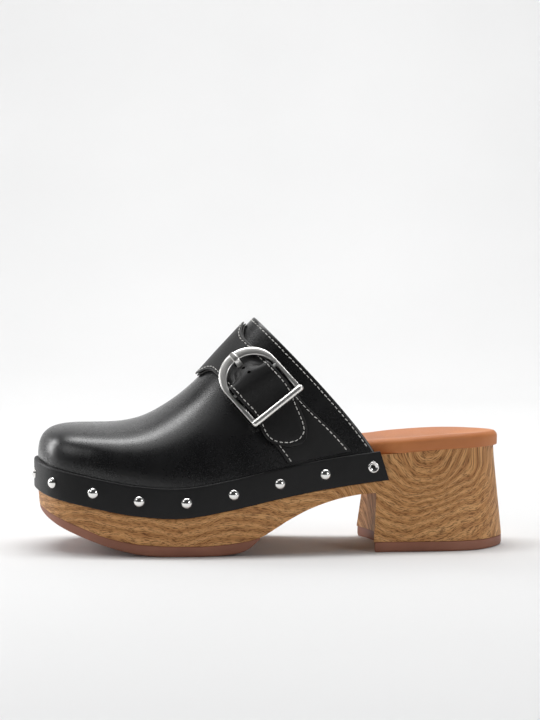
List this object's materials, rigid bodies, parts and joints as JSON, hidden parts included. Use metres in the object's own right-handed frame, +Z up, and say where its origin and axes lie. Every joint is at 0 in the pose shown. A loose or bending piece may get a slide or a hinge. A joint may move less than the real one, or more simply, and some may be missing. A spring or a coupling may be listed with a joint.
{
  "type": "wooden clog",
  "caption": "Slip-on clog with a wooden platform sole and block heel, a closed leather upper nailed under a studded band, and a buckled instep strap.",
  "frame": {"origin": "on the ground, under the middle of the clog's bounding box", "axes": "+Z up, toe along -X, outer side of the foot along -Y"},
  "size_m": [0.2529, 0.0981, 0.1227],
  "materials": {
    "wood": "satin, straight and cathedral grain",
    "rubber": "matt",
    "footbed_leather": "smooth matt",
    "foam": "foam",
    "black_leather": "smooth semi-gloss",
    "band_leather": "smooth satin",
    "lining": "matt",
    "backing": "matt",
    "stiffener": "matt",
    "nickel": "satin nickel",
    "bright_nickel": "polished",
    "nail_steel": "dull"
  },
  "bodies": {
    "clog": {"wooden_sole": "wood", "forefoot_tread": "rubber", "heel_tread": "rubber", "footbed_foam": "foam", "footbed_cover": "footbed_leather", "vamp": "black_leather", "toe_puff": "stiffener", "vamp_lining": "lining", "studded_band": "band_leather", "studs": "bright_nickel", "rear_eyelets": "bright_nickel", "rear_nails": "nail_steel", "instep_strap": "black_leather", "strap_backing": "backing", "buckle_tab": "black_leather", "buckle_loop": "black_leather"},
    "buckle": {"buckle_frame": "nickel", "centre_bar": "nickel"},
    "prong": {"buckle_prong": "nickel"}
  },
  "joints": [
    {"name": "buckle_pivot", "type": "hinge", "parent": "clog", "child": "buckle", "pos_m": [-0.00816, -0.03013, 0.08957], "axis": [0.78, 0.1851, 0.5978], "range_deg": [-0.3, 1]},
    {"name": "prong_pivot", "type": "hinge", "parent": "buckle", "child": "prong", "pos_m": [-0.00816, -0.03013, 0.08957], "axis": [0.78, 0.1851, 0.5978], "range_deg": [0, 3]}
  ]
}
